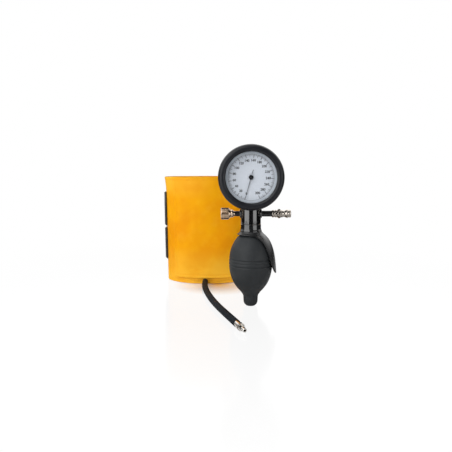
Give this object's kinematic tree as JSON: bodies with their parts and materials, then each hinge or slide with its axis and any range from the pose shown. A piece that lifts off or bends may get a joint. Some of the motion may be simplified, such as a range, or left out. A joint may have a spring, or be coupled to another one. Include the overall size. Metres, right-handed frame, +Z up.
{
  "type": "aneroid sphygmomanometer",
  "caption": "One-hand aneroid blood pressure gauge on a rubber bulb with release valve and hand guard, with its wrapped arm cuff and hose.",
  "frame": {"origin": "on the supporting surface, under the middle of the box around the cuff and the hand unit (hose left out)", "axes": "+Z up, the dial faces -Y, +X to the viewer's right"},
  "size_m": [0.1594, 0.2904, 0.1817],
  "materials": {
    "soft_rubber": "matt, fine moulded grain",
    "bulb_rubber": "matt dark grey rubber",
    "black_gloss": "high gloss black",
    "black_metal": "gloss black lacquer",
    "case_alloy": "anodised, satin",
    "lens": "clear acrylic",
    "dial_white": "satin white-grey print ground",
    "pointer_black": "satin black",
    "brass": "turned",
    "steel": "fine turned",
    "chrome": "polished",
    "cuff_nylon": "coated woven nylon, orange-yellow",
    "lining_nylon": "coated woven nylon, inner side",
    "hook_tape": "hook tape",
    "loop_pile": "brushed loop pile",
    "hose_rubber": "smooth satin rubber",
    "seal_rubber": "moulded"
  },
  "bodies": {
    "cuff": {"cuff_lining": "lining_nylon", "bladder": "seal_rubber", "bladder_port": "seal_rubber", "cuff_cover": "cuff_nylon", "port_eyelet": "steel", "loop_panel": "loop_pile", "cuff_flap": "cuff_nylon", "hook_patch_upper": "hook_tape", "hook_patch_lower": "hook_tape", "hose": "hose_rubber", "hose_plug": "chrome"},
    "plug_nut": {"plug_nut": "chrome"},
    "hand_unit": {"shock_ring": "soft_rubber", "gauge_case": "case_alloy", "bezel_ring": "black_metal", "gauge_lens": "lens", "dial_spacer": "black_gloss", "dial_plate": "dial_white", "movement_front_plate": "brass", "movement_rear_plate": "brass", "movement_pillars": "brass", "movement_posts": "brass", "movement_screws": "steel", "rocker_bearings": "brass", "pressure_capsule": "brass", "neck_manifold": "black_gloss", "neck_screws": "steel", "bulb_spigot": "brass", "outlet_valve_seat": "brass", "bulb": "bulb_rubber", "intake_valve_body": "brass", "intake_retainer": "brass", "intake_filter": "steel", "valve_stem": "black_metal", "air_arm": "black_metal", "connector_body": "chrome", "connector_socket": "chrome", "connector_seal": "seal_rubber"},
    "pointer": {"pointer": "pointer_black", "pointer_hub": "pointer_black", "pointer_pinion": "brass", "pointer_arbor": "steel", "hairspring": "steel"},
    "sector": {"sector_gear": "brass", "sector_shaft": "steel"},
    "rocker": {"rocker_shaft": "steel"},
    "capsule_head": {"capsule_head": "steel"},
    "guard": {"hand_guard": "black_gloss"},
    "outlet_disc": {"outlet_valve_disc": "seal_rubber"},
    "intake_disc": {"intake_valve_disc": "seal_rubber"},
    "valve_knob": {"valve_knob": "chrome"},
    "valve_needle": {"valve_needle": "steel", "valve_o_ring": "seal_rubber"},
    "lock_ring": {"connector_lock_ring": "chrome"}
  },
  "joints": [
    {"name": "unit_lift", "type": "slide", "parent": "cuff", "child": "hand_unit", "axis": [0, 0, 1], "range_m": [0, 0.15]},
    {"name": "pointer_turn", "type": "hinge", "parent": "hand_unit", "child": "pointer", "pos_m": [0.03478, -0.0857, 0.145], "axis": [0, 1, 0], "range_deg": [0, 322]},
    {"name": "sector_turn", "type": "hinge", "parent": "hand_unit", "child": "sector", "pos_m": [0.01836, -0.0817, 0.13786], "axis": [0, 1, 0], "range_deg": [-40.3, 0]},
    {"name": "rocker_turn", "type": "hinge", "parent": "hand_unit", "child": "rocker", "pos_m": [0.03478, -0.0753, 0.1404], "axis": [1, 0, 0], "range_deg": [0, 17.1]},
    {"name": "capsule_swell", "type": "slide", "parent": "hand_unit", "child": "capsule_head", "axis": [0, -1, 0], "range_m": [0, 0.00134]},
    {"name": "guard_turn", "type": "hinge", "parent": "hand_unit", "child": "guard", "pos_m": [0.03478, -0.0797, 0.0867], "axis": [0, 0, 1], "range_deg": [0, 180]},
    {"name": "outlet_disc_lift", "type": "slide", "parent": "hand_unit", "child": "outlet_disc", "axis": [0, 0, 1], "range_m": [0, 0.0012]},
    {"name": "intake_disc_lift", "type": "slide", "parent": "hand_unit", "child": "intake_disc", "axis": [0, 0, 1], "range_m": [0, 0.0012]},
    {"name": "valve_knob_turn", "type": "hinge", "parent": "hand_unit", "child": "valve_knob", "pos_m": [0.01378, -0.0797, 0.104], "axis": [-1, 0, 0], "range_deg": [0, 450]},
    {"name": "valve_needle_travel", "type": "slide", "parent": "hand_unit", "child": "valve_needle", "axis": [-1, 0, 0], "range_m": [0, 0.00101]},
    {"name": "lock_ring_turn", "type": "hinge", "parent": "hand_unit", "child": "lock_ring", "pos_m": [0.06657, -0.0797, 0.104], "axis": [1, 0, 0], "continuous": true},
    {"name": "plug_nut_turn", "type": "hinge", "parent": "cuff", "child": "plug_nut", "pos_m": [0.02082, -0.17374, 0.004], "axis": [0.2983, -0.9545, 0], "continuous": true}
  ],
  "couplings": [
    {"joint": "pointer_turn", "follows": "capsule_swell", "rad_per_m": 4194},
    {"joint": "sector_turn", "follows": "capsule_swell", "rad_per_m": -524.25},
    {"joint": "rocker_turn", "follows": "capsule_swell", "rad_per_m": 221.42},
    {"joint": "valve_needle_travel", "follows": "valve_knob_turn", "m_per_rad": 0.00012732}
  ]
}
